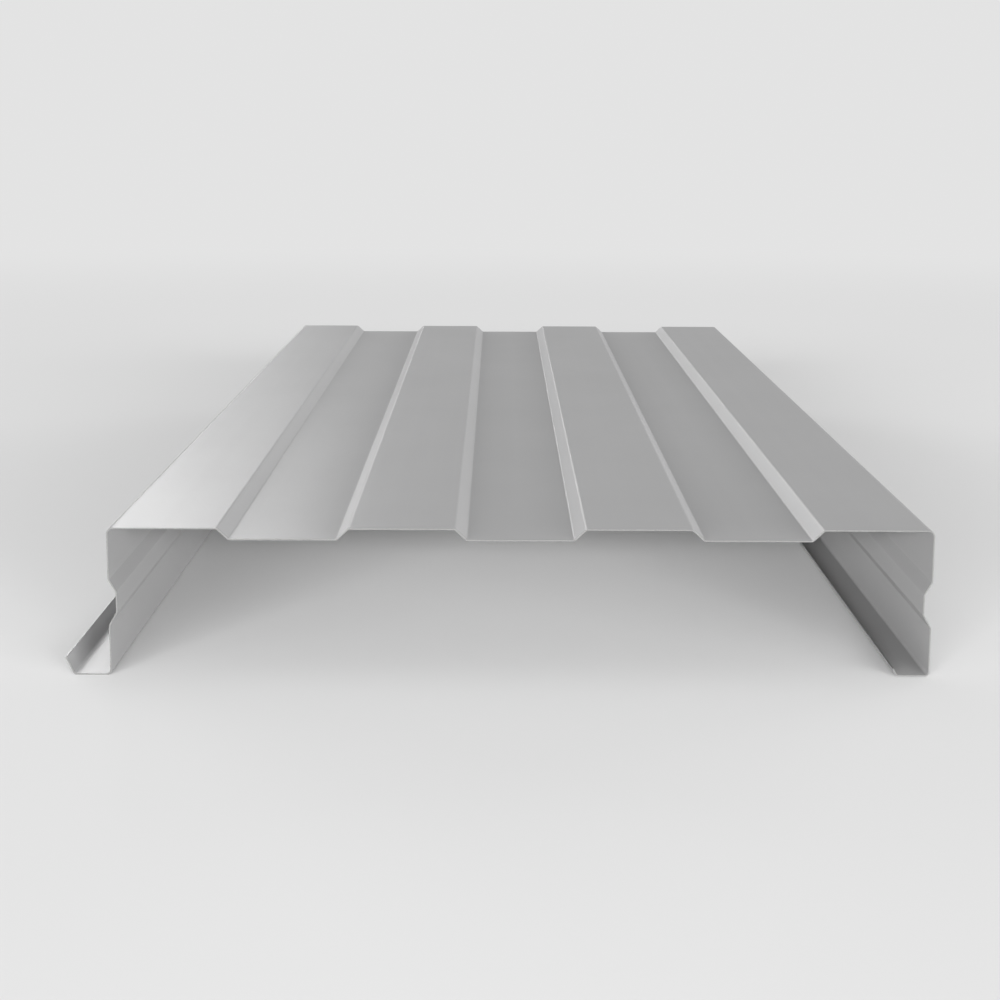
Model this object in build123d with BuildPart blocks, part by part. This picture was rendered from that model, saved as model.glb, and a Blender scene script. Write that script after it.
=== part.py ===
"""Structural cassette panel: one cold rolled steel sheet folded into a wide shallow tray.

The tray stands on its two narrow flanges, with the broad ribbed pan on top.
+X runs across the width, +Y along the length and +Z up. The origin is the middle of the bounding
box's base. Sizes are in millimetres and angles in degrees.

The section is drawn on the sheet's face side: the top of the pan, the outside of both webs, the
top of the left flange and the underside of the right flange. Panels laid side by side touch each
other on this side alone, so the faces of both flanges lie at one height.
"""

import os
from math import cos, radians, sin

from build123d import *

# Sheet and overall sizes
sheet = 1.0  # steel thickness
length = 1500.0
cover_width = 600.0  # over the faces of the two webs
depth = 110.0  # pan crowns down to the underside of the left flange

# Pan: wide flat crowns with shallow ribs sunk between them
rib_count = 3
rib_floor = 78.0
rib_slope_run = 8.5  # width taken by one sloping side
rib_depth = 8.0
edge_crown = 80.0  # from a web's face to the nearest rib

# Webs: one stiffening groove pressed into each, towards the inside of the tray
groove_start = 38.5  # below the pan crowns
groove_slope_drop = 9.5  # height taken by one sloping side
groove_floor = 15.0
groove_depth = 5.5

# Left flange: turned outward into an open channel that takes the next panel's flange
left_flange = 26.0
left_lip = 14.0
lip_lean = 66.0  # of both lips, above the level

# Right flange: turned inward, to sit in the next panel's channel
flange_play = 1.5  # how much narrower it is than the channel
right_lip = 6.0

# Radius on the inside of each bend
bend_radius = 2.0
pan_corner_radius = 3.5  # the two bends between pan and webs

# Worked out from the sizes above
flange_face_z = sheet
right_flange = left_flange - flange_play
rib_mouth = rib_floor + 2 * rib_slope_run
inner_crown = (cover_width - 2 * edge_crown - rib_count * rib_mouth) / (rib_count - 1)
rib_pitch = rib_mouth + inner_crown
lip_run = cos(radians(lip_lean))
lip_rise = sin(radians(lip_lean))

# The left lip's outer edge is the furthest point left, so half its reach past the web is how far
# the middle of the cover width stands from the middle of the bounding box.
lip_reach = left_flange + left_lip * lip_run + sheet * lip_rise
left_web_x = (lip_reach - cover_width) / 2
right_web_x = left_web_x + cover_width


def pan_rib(start_x):
    """Corners of one rib in the pan, from left to right."""
    floor_x = start_x + rib_slope_run
    floor_z = depth - rib_depth
    return [
        (start_x, depth),
        (floor_x, floor_z),
        (floor_x + rib_floor, floor_z),
        (start_x + rib_mouth, depth),
    ]


def web_groove(web_x, inward):
    """Corners of the groove in a web, from the top down. inward is +1 or -1 along X."""
    floor_x = web_x + inward * groove_depth
    start_z = depth - groove_start
    floor_z = start_z - groove_slope_drop
    return [
        (web_x, start_z),
        (floor_x, floor_z),
        (floor_x, floor_z - groove_floor),
        (web_x, floor_z - groove_floor - groove_slope_drop),
    ]


def turns_right(before, corner, after):
    """Whether the section's line turns clockwise at a corner, which puts its back inside the bend."""
    run_in, rise_in = corner[0] - before[0], corner[1] - before[1]
    run_out, rise_out = after[0] - corner[0], after[1] - corner[1]
    return run_in * rise_out < rise_in * run_out


# The section's corners, from the left lip's edge over the pan to the right lip's edge
left_fold_x = left_web_x - left_flange
right_fold_x = right_web_x - right_flange
pan_corners = [(left_web_x, depth), (right_web_x, depth)]

left_side = [
    (left_fold_x - left_lip * lip_run, flange_face_z + left_lip * lip_rise),
    (left_fold_x, flange_face_z),
    (left_web_x, flange_face_z),
    *reversed(web_groove(left_web_x, 1)),
    pan_corners[0],
]
pan_ribs = [
    corner
    for rib in range(rib_count)
    for corner in pan_rib(left_web_x + edge_crown + rib * rib_pitch)
]
right_side = [
    pan_corners[1],
    *web_groove(right_web_x, -1),
    (right_web_x, flange_face_z),
    (right_fold_x, flange_face_z),
    (right_fold_x - right_lip * lip_run, flange_face_z + right_lip * lip_rise),
]
section_corners = left_side + pan_ribs + right_side

# A bend that has the sheet's back on its inside is wider on the face by the sheet's thickness
face_radii = []
for before, corner, after in zip(section_corners, section_corners[1:], section_corners[2:]):
    inside_radius = pan_corner_radius if corner in pan_corners else bend_radius
    back_inside = turns_right(before, corner, after)
    face_radii.append(inside_radius + sheet if back_inside else inside_radius)

# The folded sheet: its section swept straight along the length, with square cut ends
with BuildPart() as cassette_sheet:
    with BuildSketch(Plane.XZ) as section:
        with BuildLine() as face_line:
            FilletPolyline(section_corners, radius=face_radii)
            offset(amount=sheet, side=Side.RIGHT)
        make_face()
    extrude(amount=length / 2, both=True)

cassette_sheet.part.label = "cassette_sheet"

os.makedirs("parts", exist_ok=True)
export_step(cassette_sheet.part, "parts/cassette_sheet.step")

developed_width = section.sketch.area / sheet
print(f"developed width {developed_width:.1f} mm, inner crowns {inner_crown:.2f} mm wide")
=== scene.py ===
"""Structural cassette panel in a plain pale studio.

One coil coated steel sheet, cold rolled into a wide shallow tray that stands on its two narrow
flanges. The sheet is modelled as a strip folded line by line, then given its thickness. It is
dressed with the coating on its face, the backing coat on its other side and bare cut edges.
Lengths are in metres, and +Y runs along the panel.
"""

import logging
from dataclasses import dataclass
from enum import Enum, IntEnum
from math import ceil, cos, pi, radians, sin, tan

import bmesh
import bpy
from mathutils import Matrix, Vector, noise

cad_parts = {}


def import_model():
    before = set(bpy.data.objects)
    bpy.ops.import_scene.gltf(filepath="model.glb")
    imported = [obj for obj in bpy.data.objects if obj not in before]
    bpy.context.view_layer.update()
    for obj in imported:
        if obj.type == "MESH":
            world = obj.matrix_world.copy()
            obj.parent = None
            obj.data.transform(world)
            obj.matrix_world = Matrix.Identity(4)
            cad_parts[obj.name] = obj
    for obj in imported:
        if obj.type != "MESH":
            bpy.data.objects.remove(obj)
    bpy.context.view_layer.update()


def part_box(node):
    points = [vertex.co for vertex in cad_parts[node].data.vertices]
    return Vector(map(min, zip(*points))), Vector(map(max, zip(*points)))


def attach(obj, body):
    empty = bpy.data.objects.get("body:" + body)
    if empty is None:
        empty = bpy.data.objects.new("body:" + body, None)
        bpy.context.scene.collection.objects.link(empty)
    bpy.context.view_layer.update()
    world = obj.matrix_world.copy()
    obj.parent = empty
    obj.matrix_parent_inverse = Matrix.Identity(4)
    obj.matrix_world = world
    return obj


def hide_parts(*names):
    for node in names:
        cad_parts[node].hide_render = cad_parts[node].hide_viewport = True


log = logging.getLogger("cassette_panel")

MM = 0.001
NODE = "cassette_sheet"
BODY = "root"

Color = tuple[float, float, float]
Triple = tuple[float, float, float]


class Side(IntEnum):
    """Where on the sheet a surface lies, as the index of its material."""

    FACE = 0
    BACK = 1
    CUT = 2


class Bend(Enum):
    """How sharply the rollers fold the sheet: the radius inside the bend."""

    PAN_CORNER = 3.5 * MM
    FOLD = 2.0 * MM


@dataclass(frozen=True)
class Corner:
    """One fold of the section, where its two straight runs would meet."""

    x: float
    z: float
    bend: Bend = Bend.FOLD


@dataclass
class SheetSection:
    """The rolled section, drawn on the sheet's face side from lip to lip.

    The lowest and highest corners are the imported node's, and the other sizes are the panel's own.
    """

    low: Vector
    high: Vector
    sheet: float = 1.0 * MM
    rib_count: int = 3
    rib_floor: float = 78.0 * MM
    rib_slope_run: float = 8.5 * MM
    rib_depth: float = 8.0 * MM
    edge_crown: float = 80.0 * MM
    groove_start: float = 38.5 * MM
    groove_slope_drop: float = 9.5 * MM
    groove_floor: float = 15.0 * MM
    groove_depth: float = 5.5 * MM
    left_flange: float = 26.0 * MM
    left_lip: float = 14.0 * MM
    right_lip: float = 6.0 * MM
    flange_play: float = 1.5 * MM
    lip_lean: float = radians(66.0)

    @property
    def left_web(self) -> float:
        """X of the left web's face, which the left flange and lip reach past."""
        lip_reach = self.left_lip * cos(self.lip_lean) + self.sheet * sin(self.lip_lean)
        return self.low.x + self.left_flange + lip_reach

    @property
    def right_web(self) -> float:
        """X of the right web's face."""
        return self.high.x

    @property
    def crown(self) -> float:
        """Z of the pan's crowns."""
        return self.high.z

    @property
    def flange_face(self) -> float:
        """Z of both flanges' faces, one sheet above the ground."""
        return self.low.z + self.sheet

    def pan_rib(self, start: float) -> list[Corner]:
        """Gives the four folds of one rib sunk into the pan.

        Args:
            start: X where the rib leaves the crown on its left.

        Returns:
            The folds from left to right.
        """
        floor_start = start + self.rib_slope_run
        floor_end = floor_start + self.rib_floor
        floor = self.crown - self.rib_depth
        return [
            Corner(start, self.crown),
            Corner(floor_start, floor),
            Corner(floor_end, floor),
            Corner(floor_end + self.rib_slope_run, self.crown),
        ]

    def pan_ribs(self) -> list[Corner]:
        """Gives the folds of all the ribs, with equal crowns between them."""
        rib_mouth = self.rib_floor + 2 * self.rib_slope_run
        crowns = self.right_web - self.left_web - 2 * self.edge_crown - self.rib_count * rib_mouth
        pitch = rib_mouth + crowns / (self.rib_count - 1)
        starts = [self.left_web + self.edge_crown + rib * pitch for rib in range(self.rib_count)]
        return [corner for start in starts for corner in self.pan_rib(start)]

    def web_groove(self, web: float, inward: float) -> list[Corner]:
        """Gives the four folds of the stiffening groove in a web.

        Args:
            web: X of the web's face.
            inward: +1 or -1, the way along X towards the inside of the tray.

        Returns:
            The folds from the top down.
        """
        floor = web + inward * self.groove_depth
        start = self.crown - self.groove_start
        floor_start = start - self.groove_slope_drop
        floor_end = floor_start - self.groove_floor
        return [
            Corner(web, start),
            Corner(floor, floor_start),
            Corner(floor, floor_end),
            Corner(web, floor_end - self.groove_slope_drop),
        ]

    def flange(self, web: float, width: float, lip: float) -> list[Corner]:
        """Gives a flange's foot and fold, and the free edge of its lip, which leans to the left.

        Args:
            web: X of the web's face.
            width: the flange's width, from the web's face to the fold.
            lip: the lip's width.

        Returns:
            The corners from the web outwards.
        """
        fold = web - width
        edge = Corner(fold - lip * cos(self.lip_lean), self.flange_face + lip * sin(self.lip_lean))
        return [Corner(web, self.flange_face), Corner(fold, self.flange_face), edge]

    def corners(self) -> list[Corner]:
        """Lists the section's two free edges and the folds between them.

        Returns:
            The corners from the left lip's edge, over the pan, to the right lip's edge.
        """
        return [
            *reversed(self.flange(self.left_web, self.left_flange, self.left_lip)),
            *reversed(self.web_groove(self.left_web, 1.0)),
            Corner(self.left_web, self.crown, Bend.PAN_CORNER),
            *self.pan_ribs(),
            Corner(self.right_web, self.crown, Bend.PAN_CORNER),
            *self.web_groove(self.right_web, -1.0),
            *self.flange(self.right_web, self.left_flange - self.flange_play, self.right_lip),
        ]


@dataclass(frozen=True)
class Coating:
    """A roller applied paint: satin, with fine aluminium flake in it, and a painted highlight that
    lightens its colour along the bends.
    """

    name: str
    color: Color
    roughness: float
    metallic: float
    specular: float
    mottle: float = 0.02
    streak: float = 0.01
    flake: float = 0.02
    # painted highlight: how much lighter the colour is along the bends
    painted_fold_highlight: float = 0.06
    fold_rough: float = 0.06
    peel_height: float = 0.006 * MM


@dataclass(frozen=True)
class CutMetal:
    """The bare steel that the shears leave on the sheet's edges."""

    name: str
    color: Color
    roughness: float
    metallic: float
    tear_shade: float = 0.13
    tear_rough: float = 0.1
    tear_depth: float = 0.02 * MM


FACE_COAT = Coating("face_coat", (0.338, 0.337, 0.339), roughness=0.295, metallic=0.3, specular=0.0)
BACK_COAT = Coating("back_coat", (0.332, 0.331, 0.332), roughness=0.42, metallic=0.2, specular=0.0)
CUT_STEEL = CutMetal("cut_steel", (0.42, 0.42, 0.415), roughness=0.42, metallic=0.9)


class NodeBoard:
    """Places and joins the shader nodes of one material or world."""

    def __init__(self, owner: bpy.types.Material | bpy.types.World) -> None:
        """Clears the owner's nodes.

        Args:
            owner: the material or world to build.
        """
        owner.use_nodes = True
        self.tree = owner.node_tree
        self.tree.nodes.clear()

    def add(self, kind: str, **settings: object) -> bpy.types.Node:
        """Adds a node.

        Args:
            kind: the node's Blender type name.
            **settings: properties of the node to set.

        Returns:
            The new node.
        """
        node = self.tree.nodes.new(kind)
        for key, value in settings.items():
            setattr(node, key, value)
        return node

    def join(self, source: bpy.types.NodeSocket, target: bpy.types.NodeSocket) -> None:
        """Links an output socket to an input socket."""
        self.tree.links.new(source, target)

    def object_space(self, scale: Triple) -> bpy.types.NodeSocket:
        """Gives object coordinates, scaled.

        Args:
            scale: how many pattern units there are to a metre along X, Y and Z.

        Returns:
            The vector socket.
        """
        place = self.add("ShaderNodeTexCoord")
        mapping = self.add("ShaderNodeMapping")
        mapping.inputs["Scale"].default_value = scale
        self.join(place.outputs["Object"], mapping.inputs["Vector"])
        return mapping.outputs["Vector"]

    def noise(self, scale: Triple, octaves: float) -> bpy.types.NodeSocket:
        """Adds a noise pattern in object space.

        Args:
            scale: cells to a metre along X, Y and Z.
            octaves: how many finer layers the noise has.

        Returns:
            The noise value, from 0 to 1 and mostly near a half.
        """
        pattern = self.add("ShaderNodeTexNoise")
        pattern.inputs["Scale"].default_value = 1.0
        pattern.inputs["Detail"].default_value = octaves
        self.join(self.object_space(scale), pattern.inputs["Vector"])
        return pattern.outputs["Fac"]

    def remap(
        self, value: bpy.types.NodeSocket, low: float, high: float, start: float = 0.3, end: float = 0.7
    ) -> bpy.types.NodeSocket:
        """Maps a value to a range, and holds it at the range's ends.

        Args:
            value: the value to map.
            low: the result at start.
            high: the result at end.
            start: the value that gives low.
            end: the value that gives high.

        Returns:
            The mapped value.
        """
        node = self.add("ShaderNodeMapRange")
        for key, number in {"From Min": start, "From Max": end, "To Min": low, "To Max": high}.items():
            node.inputs[key].default_value = number
        self.join(value, node.inputs["Value"])
        return node.outputs["Result"]

    def around(self, value: bpy.types.NodeSocket, middle: float, swing: float) -> bpy.types.NodeSocket:
        """Maps a pattern's value to a middle, give or take a swing."""
        return self.remap(value, middle - swing, middle + swing)

    def math(self, operation: str, *values: bpy.types.NodeSocket) -> bpy.types.NodeSocket:
        """Adds a math node.

        Args:
            operation: the node's operation, such as ADD.
            *values: what its inputs take.

        Returns:
            The result.
        """
        node = self.add("ShaderNodeMath", operation=operation)
        for value, socket in zip(values, node.inputs):
            self.join(value, socket)
        return node.outputs["Value"]

    def product(self, *values: bpy.types.NodeSocket) -> bpy.types.NodeSocket:
        """Multiplies several values.

        Args:
            *values: the factors.

        Returns:
            Their product.
        """
        result = values[0]
        for value in values[1:]:
            result = self.math("MULTIPLY", result, value)
        return result

    def tint(self, color: Color, factor: bpy.types.NodeSocket) -> bpy.types.NodeSocket:
        """Makes a colour lighter or darker by a factor.

        Args:
            color: the colour at factor 1, linear.
            factor: the multiplier.

        Returns:
            The colour socket.
        """
        node = self.add("ShaderNodeVectorMath", operation="SCALE")
        node.inputs[0].default_value = color
        self.join(factor, node.inputs["Scale"])
        return node.outputs["Vector"]

    def bump(self, height: bpy.types.NodeSocket, distance: float) -> bpy.types.NodeSocket:
        """Adds relief too fine for geometry.

        Args:
            height: the relief's height, where 1 is the distance.
            distance: the relief's depth in metres.

        Returns:
            The normal socket.
        """
        node = self.add("ShaderNodeBump")
        node.inputs["Distance"].default_value = distance
        self.join(height, node.inputs["Height"])
        return node.outputs["Normal"]

    def showing(self) -> bpy.types.NodeSocket:
        """Tells rays that show the backdrop, directly or in a gloss, from those that light things.

        Returns:
            1 for camera, glossy and transmission rays, and 0 for the others.
        """
        path = self.add("ShaderNodeLightPath")
        mirrored = self.math("MAXIMUM", path.outputs["Is Glossy Ray"], path.outputs["Is Transmission Ray"])
        return self.math("MAXIMUM", path.outputs["Is Camera Ray"], mirrored)


class SheetFinishes:
    """Makes the sheet's three finishes: face coat, backing coat and cut edge."""

    fold_attribute: str = "fold"
    mottle_cells: Triple = (9.0, 5.0, 9.0)
    mottle_octaves: float = 3.0
    streak_cells: Triple = (90.0, 0.7, 90.0)
    streak_octaves: float = 2.0
    flake_cells: Triple = (1900.0, 1900.0, 1900.0)
    flake_octaves: float = 1.0
    peel_cells: Triple = (380.0, 300.0, 380.0)
    peel_octaves: float = 2.0
    tear_cells: Triple = (700.0, 700.0, 700.0)
    tear_octaves: float = 3.0

    def coat(self, paint: Coating) -> bpy.types.Material:
        """Makes the paint of one side.

        Args:
            paint: the coating's values.

        Returns:
            The finished material.
        """
        material = bpy.data.materials.new(paint.name)
        board = NodeBoard(material)
        shader = board.add("ShaderNodeBsdfPrincipled")
        board.join(shader.outputs["BSDF"], board.add("ShaderNodeOutputMaterial").inputs["Surface"])
        shader.inputs["Metallic"].default_value = paint.metallic
        shader.inputs["Specular IOR Level"].default_value = paint.specular

        mottle = board.noise(self.mottle_cells, self.mottle_octaves)
        streak = board.noise(self.streak_cells, self.streak_octaves)
        flake = board.noise(self.flake_cells, self.flake_octaves)
        fold = board.add("ShaderNodeAttribute", attribute_name=self.fold_attribute).outputs["Fac"]

        # The fold factor lightens the colour along the bends: a painted highlight.
        shade = board.product(
            board.around(mottle, 1.0, paint.mottle),
            board.around(flake, 1.0, paint.flake),
            board.remap(fold, 1.0, 1.0 + paint.painted_fold_highlight, start=0.0, end=1.0),
        )
        board.join(board.tint(paint.color, shade), shader.inputs["Base Color"])

        satin = board.around(streak, paint.roughness, paint.streak)
        dulled = board.remap(fold, 0.0, paint.fold_rough, start=0.0, end=1.0)
        board.join(board.math("ADD", satin, dulled), shader.inputs["Roughness"])

        peel = board.noise(self.peel_cells, self.peel_octaves)
        board.join(board.bump(peel, paint.peel_height), shader.inputs["Normal"])
        return material

    def cut_edge(self, metal: CutMetal) -> bpy.types.Material:
        """Makes the sheared edge: bright where the blade burnished it, duller where it tore.

        Args:
            metal: the bare metal's values.

        Returns:
            The finished material.
        """
        material = bpy.data.materials.new(metal.name)
        board = NodeBoard(material)
        shader = board.add("ShaderNodeBsdfPrincipled")
        board.join(shader.outputs["BSDF"], board.add("ShaderNodeOutputMaterial").inputs["Surface"])
        shader.inputs["Metallic"].default_value = metal.metallic
        tear = board.noise(self.tear_cells, self.tear_octaves)
        shade = board.around(tear, 1.0, metal.tear_shade)
        board.join(board.tint(metal.color, shade), shader.inputs["Base Color"])
        board.join(board.around(tear, metal.roughness, metal.tear_rough), shader.inputs["Roughness"])
        board.join(board.bump(tear, metal.tear_depth), shader.inputs["Normal"])
        return material

    def for_sides(self) -> dict[Side, bpy.types.Material]:
        """Makes the finish of each side of the sheet."""
        return {
            Side.FACE: self.coat(FACE_COAT),
            Side.BACK: self.coat(BACK_COAT),
            Side.CUT: self.cut_edge(CUT_STEEL),
        }


@dataclass
class FoldedSheet:
    """The panel's one sheet: a flat strip folded to the section, with its thickness and finishes."""

    section: SheetSection
    name: str = "panel_sheet"
    across_layer: str = "across"
    width_layer: str = "width"
    same_place: float = 0.001 * MM
    setback_digits: int = 7
    place_digits: int = 6
    fold_step: float = radians(13.0)
    widest_cell: float = 13.0 * MM
    length_cuts: int = 59
    slack: float = 0.2 * MM
    slack_width: float = 75.0 * MM
    slack_cells: Vector = Vector((7.0, 2.6, 7.0))
    edge_ease: float = 0.12 * MM
    edge_segments: int = 2
    edge_angle: float = radians(50.0)

    def strip(self, corners: list[Corner]) -> bmesh.types.BMesh:
        """Draws the section at the near end and pulls it along the length.

        Args:
            corners: the section's corners.

        Returns:
            A sheet with sharp folds and no thickness, its normals on the face side.
        """
        low, high = self.section.low, self.section.high
        bm = bmesh.new()
        points = [bm.verts.new((corner.x, low.y, corner.z)) for corner in corners]
        runs = [bm.edges.new(pair) for pair in zip(points, points[1:])]
        pulled = bmesh.ops.extrude_edge_only(bm, edges=runs)["geom"]
        moved = [item for item in pulled if isinstance(item, bmesh.types.BMVert)]
        bmesh.ops.translate(bm, verts=moved, vec=(0.0, high.y - low.y, 0.0))
        bmesh.ops.recalc_face_normals(bm, faces=bm.faces)
        return bm

    def fold_line(self, bm: bmesh.types.BMesh, corner: Corner) -> bmesh.types.BMEdge:
        """Finds the line that runs along the length at a corner.

        Args:
            bm: the sheet.
            corner: where to look.

        Returns:
            The edge.
        """
        def is_there(vert: bmesh.types.BMVert) -> bool:
            """Whether a vertex is at the corner, at either end."""
            return Vector((vert.co.x - corner.x, vert.co.z - corner.z)).length < self.same_place

        return next(edge for edge in bm.edges if all(is_there(vert) for vert in edge.verts))

    def fold(self, bm: bmesh.types.BMesh, corners: list[Corner]) -> set[bmesh.types.BMFace]:
        """Rounds each fold to its radius on the face side.

        A fold that closes on the sheet's back is wider on the face by the sheet's thickness.

        Args:
            bm: the sheet with sharp folds.
            corners: the section's corners.

        Returns:
            The faces of the bends.
        """
        alike: dict[tuple[float, int], list[bmesh.types.BMEdge]] = {}
        for before, corner, after in zip(corners, corners[1:], corners[2:]):
            run_in = Vector((corner.x - before.x, corner.z - before.z))
            run_out = Vector((after.x - corner.x, after.z - corner.z))
            turn = run_in.angle_signed(run_out)
            radius = corner.bend.value + (self.section.sheet if turn > 0 else 0.0)
            setback = round(radius * tan(abs(turn) / 2), self.setback_digits)
            segments = ceil(abs(turn) / self.fold_step)
            alike.setdefault((setback, segments), []).append(self.fold_line(bm, corner))
        bends: set[bmesh.types.BMFace] = set()
        for (setback, segments), edges in alike.items():
            rounded = bmesh.ops.bevel(
                bm, geom=edges, offset=setback, offset_type="OFFSET", segments=segments,
                profile=0.5, affect="EDGES", material=-1, clamp_overlap=False,
            )
            bends.update(rounded["faces"])
        return bends

    @staticmethod
    def runs_along(edge: bmesh.types.BMEdge) -> bool:
        """Whether an edge runs along the panel's length, and not across it."""
        return abs(edge.verts[0].co.y - edge.verts[1].co.y) > MM

    def flat_ends(
        self, bm: bmesh.types.BMesh, bends: set[bmesh.types.BMFace]
    ) -> list[bmesh.types.BMEdge]:
        """Finds the cut ends of the flats.

        Args:
            bm: the folded sheet, not yet divided along its length.
            bends: the faces of the bends.

        Returns:
            The edges across each flat, two to a flat.
        """
        at_ends = [edge for edge in bm.edges if not self.runs_along(edge)]
        return [edge for edge in at_ends if bends.isdisjoint(edge.link_faces)]

    def divide(self, bm: bmesh.types.BMesh, bends: set[bmesh.types.BMFace]) -> None:
        """Divides the flats across their width, and the sheet along its length.

        The vertices learn on the way whether they lie in a bend, how far across their flat they
        are from 0 to 1, and how wide that flat is. A free edge counts as the middle of a flat.

        Args:
            bm: the folded sheet.
            bends: the faces of the bends.
        """
        layers = bm.verts.layers.float
        fold = layers.new(SheetFinishes.fold_attribute)
        across = layers.new(self.across_layer)
        width = layers.new(self.width_layer)
        for vert in bm.verts:
            vert[fold] = float(bends.issuperset(vert.link_faces))
        by_cuts: dict[int, list[bmesh.types.BMEdge]] = {}
        for edge in self.flat_ends(bm, bends):
            ends = sorted(edge.verts, key=lambda vert: (round(vert.co.x, self.place_digits), vert.co.z))
            for vert, share in zip(ends, (0.0, 1.0)):
                vert[across] = 0.5 if len(vert.link_faces) == 1 else share
                vert[width] = edge.calc_length()
            by_cuts.setdefault(ceil(edge.calc_length() / self.widest_cell) - 1, []).append(edge)
        for cuts, edges in by_cuts.items():
            if cuts > 0:
                bmesh.ops.subdivide_edges(bm, edges=edges, cuts=cuts)
        along = [edge for edge in bm.edges if self.runs_along(edge)]
        bmesh.ops.subdivide_edges(bm, edges=along, cuts=self.length_cuts)

    def slacken(self, bm: bmesh.types.BMesh) -> None:
        """Gives the flats the very slight waviness that rolling leaves in them, most in the widest.

        Args:
            bm: the divided sheet.
        """
        layers = bm.verts.layers.float
        across, width = layers[self.across_layer], layers[self.width_layer]
        bm.normal_update()
        for vert in bm.verts:
            looseness = min(1.0, vert[width] / self.slack_width) ** 2 * sin(pi * vert[across]) ** 2
            vert.co += vert.normal * self.slack * looseness * noise.noise(vert.co * self.slack_cells)
        layers.remove(across)
        layers.remove(layers[self.width_layer])

    def thicken(self, sheet: bpy.types.Object) -> None:
        """Gives the sheet its thickness towards its back, and breaks the sharpness of its cut edges.

        Args:
            sheet: the piece, one surface thin.
        """
        solid = sheet.modifiers.new("thickness", "SOLIDIFY")
        solid.thickness = self.section.sheet
        solid.offset = -1.0
        solid.use_even_offset = True
        solid.use_quality_normals = True
        solid.material_offset = Side.BACK
        solid.material_offset_rim = Side.CUT
        eased = sheet.modifiers.new("eased_cut", "BEVEL")
        eased.width = self.edge_ease
        eased.segments = self.edge_segments
        eased.limit_method = "ANGLE"
        eased.angle_limit = self.edge_angle
        eased.material = Side.CUT
        sheet.modifiers.new("flat_shading", "WEIGHTED_NORMAL")

    def build(self) -> bpy.types.Object:
        """Builds the sheet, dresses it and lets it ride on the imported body.

        Returns:
            The finished piece.
        """
        corners = self.section.corners()
        bm = self.strip(corners)
        bends = self.fold(bm, corners)
        self.divide(bm, bends)
        self.slacken(bm)
        mesh = bpy.data.meshes.new(self.name)
        bm.to_mesh(mesh)
        bm.free()
        mesh.shade_smooth()
        for side, finish in SheetFinishes().for_sides().items():
            mesh.materials.append(finish)
            log.info("%s side %s wears %s", self.name, side.name.lower(), finish.name)
        sheet = bpy.data.objects.new(self.name, mesh)
        bpy.context.scene.collection.objects.link(sheet)
        self.thicken(sheet)
        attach(sheet, BODY)
        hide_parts(NODE)
        return sheet


@dataclass(frozen=True)
class Softbox:
    """A large soft lamp far from the panel, out of the camera's sight.

    Azimuth 0 is behind the panel and turns towards +X. The lamp's width and height are the angles
    that it fills as seen from the panel, and a radiance of 1 is white.
    """

    name: str
    azimuth: float
    elevation: float
    width: float
    height: float
    radiance: float
    shows_in_gloss: bool = True
    distance: float = 30.0

    def extent(self, angle: float) -> float:
        """Gives the size that fills an angle at the lamp's distance."""
        return 2 * self.distance * tan(radians(angle) / 2)

    def hang(self) -> bpy.types.Object:
        """Hangs the lamp and turns it to the panel.

        Returns:
            The lamp.
        """
        lamp = bpy.data.lights.new(self.name, "AREA")
        lamp.shape = "RECTANGLE"
        lamp.size = self.extent(self.width)
        lamp.size_y = self.extent(self.height)
        lamp.energy = self.radiance * pi * lamp.size * lamp.size_y
        holder = bpy.data.objects.new(self.name, lamp)
        azimuth, elevation = radians(self.azimuth), radians(self.elevation)
        level = cos(elevation)
        away = Vector((sin(azimuth) * level, cos(azimuth) * level, sin(elevation)))
        turn = away.to_track_quat("Z", "Y").to_matrix().to_4x4()
        holder.matrix_world = Matrix.Translation(away * self.distance) @ turn
        holder.visible_camera = False
        holder.visible_glossy = self.shows_in_gloss
        bpy.context.scene.collection.objects.link(holder)
        return holder


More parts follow.
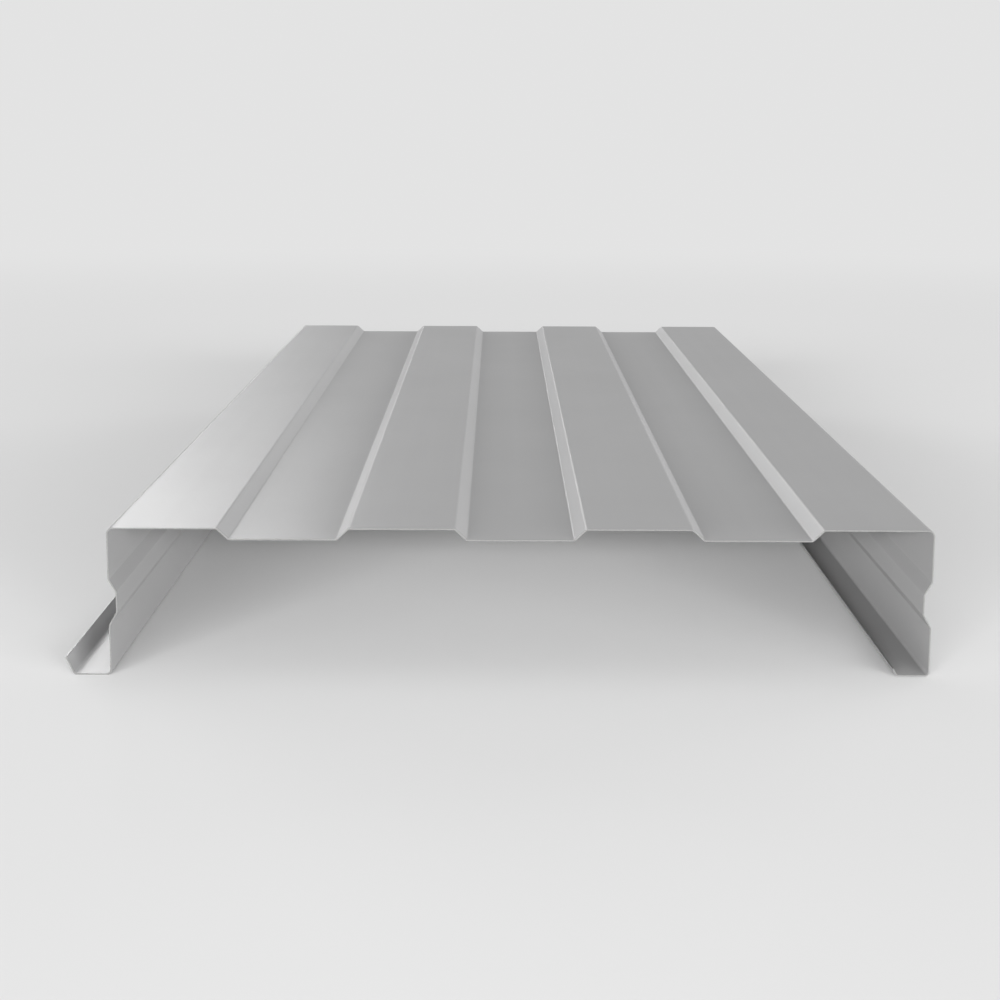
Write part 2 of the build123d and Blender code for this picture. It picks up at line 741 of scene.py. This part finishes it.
@dataclass
class Studio:
    """A plain pale floor that melts into a pale surround, and soft light."""

    backdrop: Color = (0.77, 0.77, 0.77)
    floor_color: Color = (0.71, 0.71, 0.71)
    ambient: Color = (0.35, 0.35, 0.35)
    floor_radius: float = 40.0
    floor_sides: int = 64
    fade_start: float = 1.6
    fade_end: float = 4.5
    # Each lamp has its name, azimuth, elevation, width, height and radiance.
    softboxes: tuple[Softbox, ...] = (
        Softbox("strip", -12.0, 17.5, 4.0, 8.0, 11.0),
        Softbox("strip_edge", -8.0, 17.5, 4.0, 8.0, 4.8),
        Softbox("low_edge_left", -18.0, 3.5, 8.0, 3.0, 4.2),
        Softbox("low_edge_right", 18.0, 3.5, 8.0, 3.0, 2.0),
        Softbox("low_side_left", -32.0, 4.0, 18.0, 5.0, 20.0),
        Softbox("overhead", 90.0, 84.0, 45.0, 45.0, 0.37, shows_in_gloss=False),
        Softbox("front_right", 143.0, 6.0, 34.0, 8.0, 32.5, shows_in_gloss=False),
        Softbox("front_left", -143.0, 6.0, 34.0, 8.0, 16.5, shows_in_gloss=False),
        Softbox("fore_right", 166.0, 9.0, 28.0, 8.0, 52.0, shows_in_gloss=False),
        Softbox("fore_left", -166.0, 9.0, 28.0, 8.0, 77.0, shows_in_gloss=False),
        Softbox("back_right", 40.0, 6.0, 34.0, 8.0, 16.0, shows_in_gloss=False),
        Softbox("back_left", -40.0, 6.0, 34.0, 8.0, 16.0, shows_in_gloss=False),
    )

    def floor(self) -> bpy.types.Object:
        """Lays the floor: matt near the panel, and the surround's own colour further out.

        Returns:
            The floor.
        """
        bm = bmesh.new()
        bmesh.ops.create_circle(bm, cap_ends=True, segments=self.floor_sides, radius=self.floor_radius)
        mesh = bpy.data.meshes.new("studio_floor")
        bm.to_mesh(mesh)
        bm.free()
        material = bpy.data.materials.new("studio_floor")
        board = NodeBoard(material)
        matt = board.add("ShaderNodeBsdfDiffuse")
        matt.inputs["Color"].default_value = (*self.floor_color, 1.0)
        surround = board.add("ShaderNodeEmission")
        surround.inputs["Color"].default_value = (*self.backdrop, 1.0)
        distance = board.add("ShaderNodeVectorMath", operation="LENGTH")
        board.join(board.object_space((1.0, 1.0, 1.0)), distance.inputs[0])
        fade = board.add("ShaderNodeMapRange", interpolation_type="SMOOTHSTEP")
        fade.inputs["From Min"].default_value = self.fade_start
        fade.inputs["From Max"].default_value = self.fade_end
        board.join(distance.outputs["Value"], fade.inputs["Value"])
        mix = board.add("ShaderNodeMixShader")
        board.join(board.product(fade.outputs["Result"], board.showing()), mix.inputs["Fac"])
        board.join(matt.outputs["BSDF"], mix.inputs[1])
        board.join(surround.outputs["Emission"], mix.inputs[2])
        board.join(mix.outputs["Shader"], board.add("ShaderNodeOutputMaterial").inputs["Surface"])
        mesh.materials.append(material)
        floor = bpy.data.objects.new("studio_floor", mesh)
        bpy.context.scene.collection.objects.link(floor)
        return floor

    def surround(self) -> bpy.types.World:
        """Makes the world: the backdrop's colour where it shows, and plain soft light elsewhere.

        Returns:
            The world.
        """
        world = bpy.data.worlds.new("studio_surround")
        bpy.context.scene.world = world
        board = NodeBoard(world)
        light = board.add("ShaderNodeBackground")
        light.inputs["Color"].default_value = (*self.ambient, 1.0)
        shown = board.add("ShaderNodeBackground")
        shown.inputs["Color"].default_value = (*self.backdrop, 1.0)
        mix = board.add("ShaderNodeMixShader")
        board.join(board.showing(), mix.inputs["Fac"])
        board.join(light.outputs["Background"], mix.inputs[1])
        board.join(shown.outputs["Background"], mix.inputs[2])
        board.join(mix.outputs["Shader"], board.add("ShaderNodeOutputWorld").inputs["Surface"])
        return world

    def build(self) -> None:
        """Builds the floor, the surround and the lamps."""
        self.floor()
        self.surround()
        for softbox in self.softboxes:
            softbox.hang()
        log.info("studio with %d softboxes", len(self.softboxes))


@dataclass(frozen=True)
class PhotoCamera:
    """The photograph's view: from above the near end, level across the panel."""

    place: Triple = (-0.0007, -2.1845, 0.3974)
    lens: float = 72.83
    sensor: float = 36.0
    pitch: float = radians(10.506)
    yaw: float = radians(0.077)
    roll: float = radians(0.226)

    def build(self) -> bpy.types.Object:
        """Sets the camera up and makes it the scene's.

        Returns:
            The camera.
        """
        data = bpy.data.cameras.new("photo_camera")
        data.lens = self.lens
        data.sensor_width = self.sensor
        camera = bpy.data.objects.new("photo_camera", data)
        turn = (
            Matrix.Rotation(-self.yaw, 4, "Z")
            @ Matrix.Rotation(pi / 2 - self.pitch, 4, "X")
            @ Matrix.Rotation(self.roll, 4, "Z")
        )
        camera.matrix_world = Matrix.Translation(self.place) @ turn
        bpy.context.scene.collection.objects.link(camera)
        bpy.context.scene.camera = camera
        return camera


def main() -> None:
    """Builds the panel, its studio and the camera."""
    logging.basicConfig(level=logging.INFO, format="%(name)s: %(message)s")
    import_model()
    bpy.context.scene.view_settings.view_transform = "Standard"

    sheet = FoldedSheet(SheetSection(*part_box(NODE))).build()
    log.info("%s has %d faces before its thickness", sheet.name, len(sheet.data.polygons))
    Studio().build()
    camera = PhotoCamera().build()
    log.info("%s with a %.1f mm lens", camera.name, camera.data.lens)


if __name__ == "__main__":
    main()
